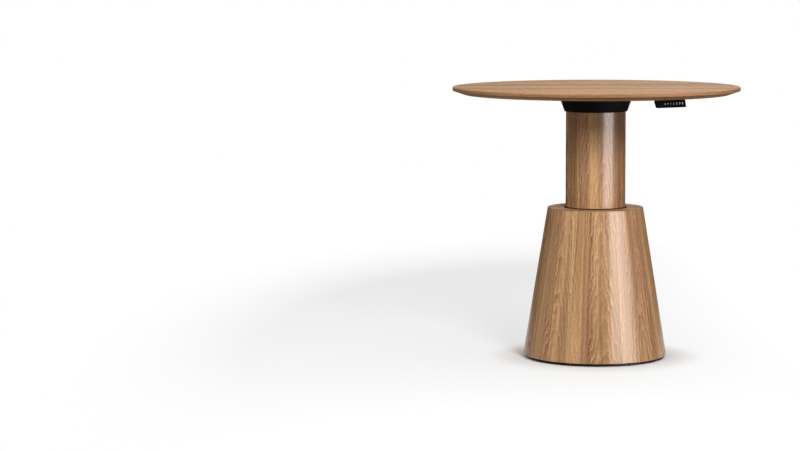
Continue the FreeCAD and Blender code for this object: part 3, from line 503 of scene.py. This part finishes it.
satins = {  # slot: name, tone, roughness, grains per metre, their depth, then gloss and haze if low
    "collar_black": ("collarBlack", (12, 11, 10), 0.62, 2600.0, 0.00008, 0.03, 0.0004),
    "guide_black": ("guideBlack", (46, 31, 23), 0.75, 1800.0, 0.0002, 0.15),
    "plate_black": ("plateCoat", (26, 25, 24), 0.55, 1400.0, 0.0002),
    "glide_black": ("glideBlack", (28, 27, 26), 0.5, 1500.0, 0.0001),
    "grommet_rubber": ("grommetRubber", (30, 29, 28), 0.8, 1200.0, 0.0002, 0.25),
    "keypad_black": ("keypadBlack", (4, 4, 4), 0.5, 3200.0, 0.00006, 0.02, 0.0004),
    "panel_black": ("panelBlack", (2, 2, 3), 0.3, 5200.0, 0.00001, 0.02, 0.0004),
    "display_black": ("displayGlass", (3, 3, 5), 0.12, 900.0, 0.000002, 0.06, 0.0004),
    "key_black": ("keyBlack", (3, 3, 4), 0.42, 3600.0, 0.00003, 0.02, 0.0004),
    "control_box_black": ("boxBlack", (34, 34, 35), 0.5, 1500.0, 0.00015),
    "inlet_black": ("inletBlack", (24, 24, 24), 0.42, 1900.0, 0.0001),
    "motor_cap_black": ("motorCapBlack", (30, 30, 31), 0.48, 1600.0, 0.0001),
    "magnet_ferrite": ("ferrite", (58, 56, 55), 0.62, 1300.0, 0.0002),
    "pad_white": ("slidePads", (226, 224, 216), 0.4, 1400.0, 0.00006),
    "planet_polymer": ("planetPolymer", (216, 206, 182), 0.42, 1400.0, 0.00006),
    "tube_grey": ("tubeGrey", (122, 124, 126), 0.5, 1300.0, 0.0002),
}
metals = {  # slot: name, tone, roughness, scratches per metre along X, Y and Z
    "fastener_steel": ("fastenerSteel", (196, 196, 194), 0.3, (40.0, 40.0, 900.0)),
    "ground_steel": ("groundSteel", (206, 206, 205), 0.2, (40.0, 40.0, 900.0)),
    "motor_zinc": ("motorZinc", (186, 188, 192), 0.34, (500.0, 500.0, 30.0)),
    "brass": ("brass", (212, 176, 98), 0.26, (40.0, 40.0, 900.0)),
}
slotFinishes = {slot: satinFinish(*look) for slot, look in satins.items()}
slotFinishes.update((slot, brushedFinish(*look)) for slot, look in metals.items())
slotFinishes.update({
    "plywood": plyFinish(), "board_green": boardFinish(), "top_wood": woods["topVeneer"],
    "cone_wood": woods["coneVeneer"], "sleeve_wood": woods["sleeveVeneer"],
})
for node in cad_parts.values():
    for held in node.material_slots:
        held.material = slotFinishes[held.material.name.split(".")[0]]

collar = {
    "footRadius": 0.1315, "topRadius": 0.157, "foot": 1.037, "head": 1.109, "wall": 0.003,
    "flange": 0.037, "flangeThickness": 0.003, "sides": 256,
    "softening": (0.0008, 0.002, 0.0006, 0.0004, 0.0004, 0.0004),
}
flare = (collar["topRadius"] - collar["footRadius"]) / (collar["head"] - collar["foot"])
ledge = collar["head"] - collar["flangeThickness"]
flangeBore = collar["topRadius"] - collar["flange"]
turned("collar_moulded", [
    (collar["footRadius"] - collar["wall"], collar["foot"]), (collar["footRadius"], collar["foot"]),
    (collar["topRadius"], collar["head"]), (flangeBore, collar["head"]), (flangeBore, ledge),
    (collar["topRadius"] - flare * collar["flangeThickness"] - collar["wall"], ledge),
], collar["softening"], collar["sides"], [slotFinishes["collar_black"]], "top", ["collar"])
print("finishes set on", len(slotFinishes), "slots")


# signs on the keys
keypad = {
    "bearing": 30.0, "tilt": 14.5, "faceRadius": 0.527, "height": 0.0315, "width": 0.142, "underside": 1.109,
    "firstShare": 0.27, "lastShare": 0.89, "proud": 0.0006, "print": 0.00008,
    "sign": 0.0068, "riseShare": 0.25, "stroke": 0.0019,
    "ring": 0.0021, "ringStroke": 0.0012, "ringSides": 48, "digit": 0.0106, "bold": 0.0003,
}
footReach = keypad["faceRadius"] + keypad["height"] * math.tan(math.radians(keypad["tilt"]))
faceMiddle = (0, -(keypad["faceRadius"] + footReach) / 2, keypad["underside"] - keypad["height"] / 2)
toFace = (Matrix.Rotation(math.radians(keypad["bearing"]), 4, "Z") @ Matrix.Translation(faceMiddle)
          @ Matrix.Rotation(math.radians(90 - keypad["tilt"]), 4, "X"))

inkLook = {"speck": 4000.0, "edges": (0.35, 0.65), "worn": 0.86, "roughness": 0.45}


def inkFinish(name, colour):
    # printed ink, a little worn in fine specks
    finish, tree, surface = newFinish(name)
    speck = remap(tree, cloud(tree, place(tree), inkLook["speck"]), *inkLook["edges"])
    join(tree, tint(tree, speck, toned(colour, inkLook["worn"]), colour), surface.inputs["Base Color"])
    surface.inputs["Roughness"].default_value = inkLook["roughness"]
    return finish


whiteInk = inkFinish("signWhite", linear(236, 237, 238))
greyInk = inkFinish("signGrey", linear(146, 147, 149))


def strokeMesh(path, width, thick, closed=False):
    # a stroke of constant width: the path is moved half a width to each side along its mitre, which lies
    # midway between the two edge normals and is one over the cosine of half the turn long
    edge = np.roll(path, -1, 0) - path
    edge /= np.linalg.norm(edge, axis=1, keepdims=True)
    side = np.stack([-edge[:, 1], edge[:, 0]], 1)
    before = np.roll(side, 1, 0)
    if not closed:
        side[-1], before[0] = side[-2], side[0]
    mitre = side + before
    mitre /= (mitre * side).sum(1, keepdims=True)
    left, right = path + mitre * width / 2, path - mitre * width / 2
    count = len(path)
    ring = np.concatenate([left, right])
    verts = np.concatenate([np.c_[ring, np.zeros(2 * count)], np.c_[ring, np.full(2 * count, thick)]])
    a = np.arange(count if closed else count - 1)
    b = (a + 1) % count
    up = 2 * count
    faces = np.concatenate([
        np.stack([up + count + a, up + count + b, up + b, up + a], 1),
        np.stack([a, b, count + b, count + a], 1),
        np.stack([a, up + a, up + b, b], 1),
        np.stack([count + a, count + b, up + count + b, up + count + a], 1),
    ]).tolist()
    if not closed:
        end = count - 1
        faces += [[0, count, up + count, up], [end, up + end, up + count + end, count + end]]
    mesh = bpy.data.meshes.new("stroke")
    mesh.from_pydata(verts.tolist(), [], faces)
    return mesh


def digitMesh(text, size, thick):
    # a figure in the font that comes with Blender, made bolder, with its back at height nought
    curve = bpy.data.curves.new("digit", "FONT")
    curve.body = text
    curve.size = size
    curve.align_x = curve.align_y = "CENTER"
    curve.extrude = thick / 2
    curve.offset = keypad["bold"]
    holder = bpy.data.objects.new("digit", curve)
    scene.collection.objects.link(holder)
    bpy.context.view_layer.update()
    mesh = bpy.data.meshes.new_from_object(holder)
    bpy.data.objects.remove(holder)
    mesh.transform(Matrix.Translation((0, 0, thick / 2)))
    return mesh


half = keypad["sign"] / 2
rise = keypad["sign"] * keypad["riseShare"]
arrow = np.array([(-half, -rise), (0, rise), (half, -rise)])
ringTurn = np.linspace(0, 2 * np.pi, keypad["ringSides"], endpoint=False)
circle = np.c_[np.cos(ringTurn), np.sin(ringTurn)] * keypad["ring"]
signs = {
    "up": (strokeMesh(arrow, keypad["stroke"], keypad["print"]), greyInk),
    "down": (strokeMesh(arrow * (1, -1), keypad["stroke"], keypad["print"]), greyInk),
    "save": (strokeMesh(circle, keypad["ringStroke"], keypad["print"], True), greyInk),
}
for digit in "1234":
    signs[digit] = (digitMesh(digit, keypad["digit"], keypad["print"]), whiteInk)
pitch = keypad["width"] * (keypad["lastShare"] - keypad["firstShare"]) / (len(signs) - 1)
for number, (name, (mesh, ink)) in enumerate(signs.items()):
    along = keypad["width"] * (keypad["firstShare"] - 0.5) + pitch * number
    mesh.transform(toFace @ Matrix.Translation((along, 0, keypad["proud"])))
    mesh.materials.clear()
    mesh.materials.append(ink)
    dress("sign_" + name, mesh, "key_" + name)
print("signs printed on", len(signs), "keys")


# stage, light and camera
def seenRays(tree):
    # 1 for rays that show the background: straight, mirrored or through glass; then 1 for straight ones only
    rays = tree.nodes.new("ShaderNodeLightPath").outputs
    mirrored = calc(tree, "MAXIMUM", rays["Is Glossy Ray"], rays["Is Transmission Ray"])
    return calc(tree, "MAXIMUM", rays["Is Camera Ray"], mirrored), rays["Is Camera Ray"]


floorLook = {
    "half": 60.0, "tone": linear(235, 235, 235), "bounceTone": linear(150, 150, 150), "roughness": 0.9,
    # shares of painted light on the floor near the table: an even one, and one more per metre to the right
    "contact": (0.3, 0.48), "paintedLightNear": 0.6, "paintedLightRight": 0.5, "plain": 1.0, "white": 4.7, "narrow": 2.1,
}


def floorFinish():
    # matt floor that keeps the shadow near the table and passes into plain white further out,
    # and that throws less light back up than it shows; near the table it glows with painted light,
    # stronger towards its right side, which lightens the cast shadow there
    look = floorLook
    finish, tree, surface = newFinish("paleFloor")
    x, y = split(tree, place(tree))[:2]
    seen, straight = seenRays(tree)
    join(tree, tint(tree, seen, look["bounceTone"], look["tone"]), surface.inputs["Base Color"])
    surface.inputs["Roughness"].default_value = look["roughness"]
    surface.inputs["Specular IOR Level"].default_value = 0.0
    # painted light: the floor glows an even share near the table and more per metre to its right, as if lit
    # more from there
    paintedLight = plus(tree, look["paintedLightNear"], calc(tree, "MAXIMUM", x, 0.0), look["paintedLightRight"])
    clear = remap(tree, reach(tree, x, y), *look["contact"])  # nought under the foot, whose gap stays dark
    near = calc(tree, "MULTIPLY", calc(tree, "MINIMUM", paintedLight, 1.0), clear)
    # seen straight, the plain white comes nearer at the sides
    aside = calc(tree, "MULTIPLY", x, plus(tree, 1.0, straight, look["narrow"] - 1))
    far = remap(tree, reach(tree, aside, y), look["plain"], look["white"])
    # painted light near the table, plain white backdrop further out
    pale = calc(tree, "MULTIPLY", calc(tree, "MAXIMUM", near, far), seen)
    both = tree.nodes.new("ShaderNodeMixShader")
    join(tree, pale, both.inputs[0])
    join(tree, surface.outputs[0], both.inputs[1])
    join(tree, tree.nodes.new("ShaderNodeEmission").outputs[0], both.inputs[2])
    join(tree, both.outputs[0], tree.nodes["Material Output"].inputs["Surface"])
    return finish


flagLook = {
    "reach": 2.4, "height": 3.2, "count": 64, "foot": 0.5, "head": 1.3, "dark": 0.02, "pale": 0.72,
    "backEdge": 0.7, "back": (0.7, 1.25), "sides": (0.6, 0.2),  # pairs: left and right
}


def flagFinish():
    # cloth round the set, dark below and grey above, which only mirrored rays meet
    look = flagLook
    finish, tree = newFinish("flagCloth")[:2]
    ways = split(tree, place(tree))
    x, z = ways[0], ways[2]
    edge, wide = look["backEdge"], look["reach"]
    left, right = look["sides"]
    rise = remap(tree, z, look["foot"], look["head"], look["dark"], look["pale"])
    lean = remap(tree, x, -edge, edge, *look["back"])
    lean = calc(tree, "MULTIPLY", lean, remap(tree, x, -wide, -edge, left, 1.0))
    lean = calc(tree, "MULTIPLY", lean, remap(tree, x, edge, wide, 1.0, right))
    glow = tree.nodes.new("ShaderNodeEmission")
    join(tree, calc(tree, "MULTIPLY", rise, lean), glow.inputs["Strength"])
    join(tree, glow.outputs[0], tree.nodes["Material Output"].inputs["Surface"])
    return finish


floorCorners = np.array([(-1, -1, 0), (1, -1, 0), (1, 1, 0), (-1, 1, 0)]) * floorLook["half"]
floorMesh = bpy.data.meshes.new("floor")
floorMesh.from_pydata(floorCorners.tolist(), [], [(0, 1, 2, 3)])
floorMesh.materials.append(floorFinish())
floorPiece = bpy.data.objects.new("floor", floorMesh)
scene.collection.objects.link(floorPiece)

# the cloth is a ring of flat panels that face the axis: x = reach cos(turn), y = reach sin(turn)
panels = flagLook["count"]
panel = np.arange(panels)
nextPanel = (panel + 1) % panels
turns = panel * 2 * np.pi / panels
ring = np.c_[np.cos(turns), np.sin(turns)] * flagLook["reach"]
cloth = np.concatenate([np.c_[ring, np.zeros(panels)], np.c_[ring, np.full(panels, flagLook["height"])]])
clothFaces = np.stack([panel, panels + panel, panels + nextPanel, nextPanel], 1)
flagMesh = bpy.data.meshes.new("flags")
flagMesh.from_pydata(cloth.tolist(), [], clothFaces.tolist())
flagMesh.materials.append(flagFinish())
flagPiece = bpy.data.objects.new("flags", flagMesh)
flagPiece.visible_camera = flagPiece.visible_diffuse = flagPiece.visible_shadow = False
scene.collection.objects.link(flagPiece)

skyLook = {"zenith": 0.85, "horizon": 0.1}
world = scene.world or bpy.data.worlds.new("studio")
scene.world = world
world.use_nodes = True
sky = world.node_tree
sky.nodes.clear()
upward = split(sky, sky.nodes.new("ShaderNodeTexCoord").outputs["Generated"])[2]
light = remap(sky, upward, 0.0, 1.0, skyLook["horizon"], skyLook["zenith"])
back = sky.nodes.new("ShaderNodeBackground")
back.inputs["Color"].default_value = (1, 1, 1, 1)
join(sky, calc(sky, "MAXIMUM", light, seenRays(sky)[0]), back.inputs["Strength"])
join(sky, back.outputs[0], sky.nodes.new("ShaderNodeOutputWorld").inputs[0])

lamps = {  # a lamp with shine is a card that only mirrored rays meet, the others are soft light
    "key": {"turn": 14.0, "away": 4.25, "height": 2.9, "aim": 0.8, "size": (1.1, 1.3), "roll": 0.0,
            "power": 172.0, "shine": False},
    "fill": {"turn": -60.0, "away": 4.0, "height": 2.6, "aim": 0.7, "size": (2.4, 2.0), "roll": 0.0,
             "power": 18.0, "shine": False},
    "strip": {"turn": 44.0, "away": 2.0, "height": 0.8, "aim": 0.8, "size": (1.35, 1.5), "roll": -8.0,
              "power": 80.0, "shine": True},
}
for name, lamp in lamps.items():
    data = bpy.data.lights.new(name, "AREA")
    data.shape = "RECTANGLE"
    data.size, data.size_y = lamp["size"]
    data.energy = lamp["power"]
    turn = math.radians(lamp["turn"])
    where = Vector((math.sin(turn) * lamp["away"], -math.cos(turn) * lamp["away"], lamp["height"]))
    facing = (Vector((0, 0, lamp["aim"])) - where).to_track_quat("-Z", "Y").to_matrix().to_4x4()
    rolled = Matrix.Rotation(math.radians(lamp["roll"]), 4, "Z")
    holder = bpy.data.objects.new(name, data)
    holder.matrix_world = Matrix.Translation(where) @ facing @ rolled
    holder.visible_camera = False
    holder.visible_glossy, holder.visible_diffuse = lamp["shine"], not lamp["shine"]
    scene.collection.objects.link(holder)

view = {
    "at": (-0.8212, -10.4117, 1.6665), "down": 6.0806, "roll": -0.1575,
    "lens": 112.015, "sensor": 36.0, "clipEnd": 200.0,
}
cameraData = bpy.data.cameras.new("camera")
cameraData.sensor_width = view["sensor"]
cameraData.lens = view["lens"]
cameraData.clip_end = view["clipEnd"]
camera = bpy.data.objects.new("camera", cameraData)
camera.matrix_world = (Matrix.Translation(view["at"])
                       @ Matrix.Rotation(math.radians(90 - view["down"]), 4, "X")
                       @ Matrix.Rotation(math.radians(view["roll"]), 4, "Z"))
scene.collection.objects.link(camera)
scene.camera = camera
scene.view_settings.view_transform = "Standard"
print("stage, lamps and camera set")
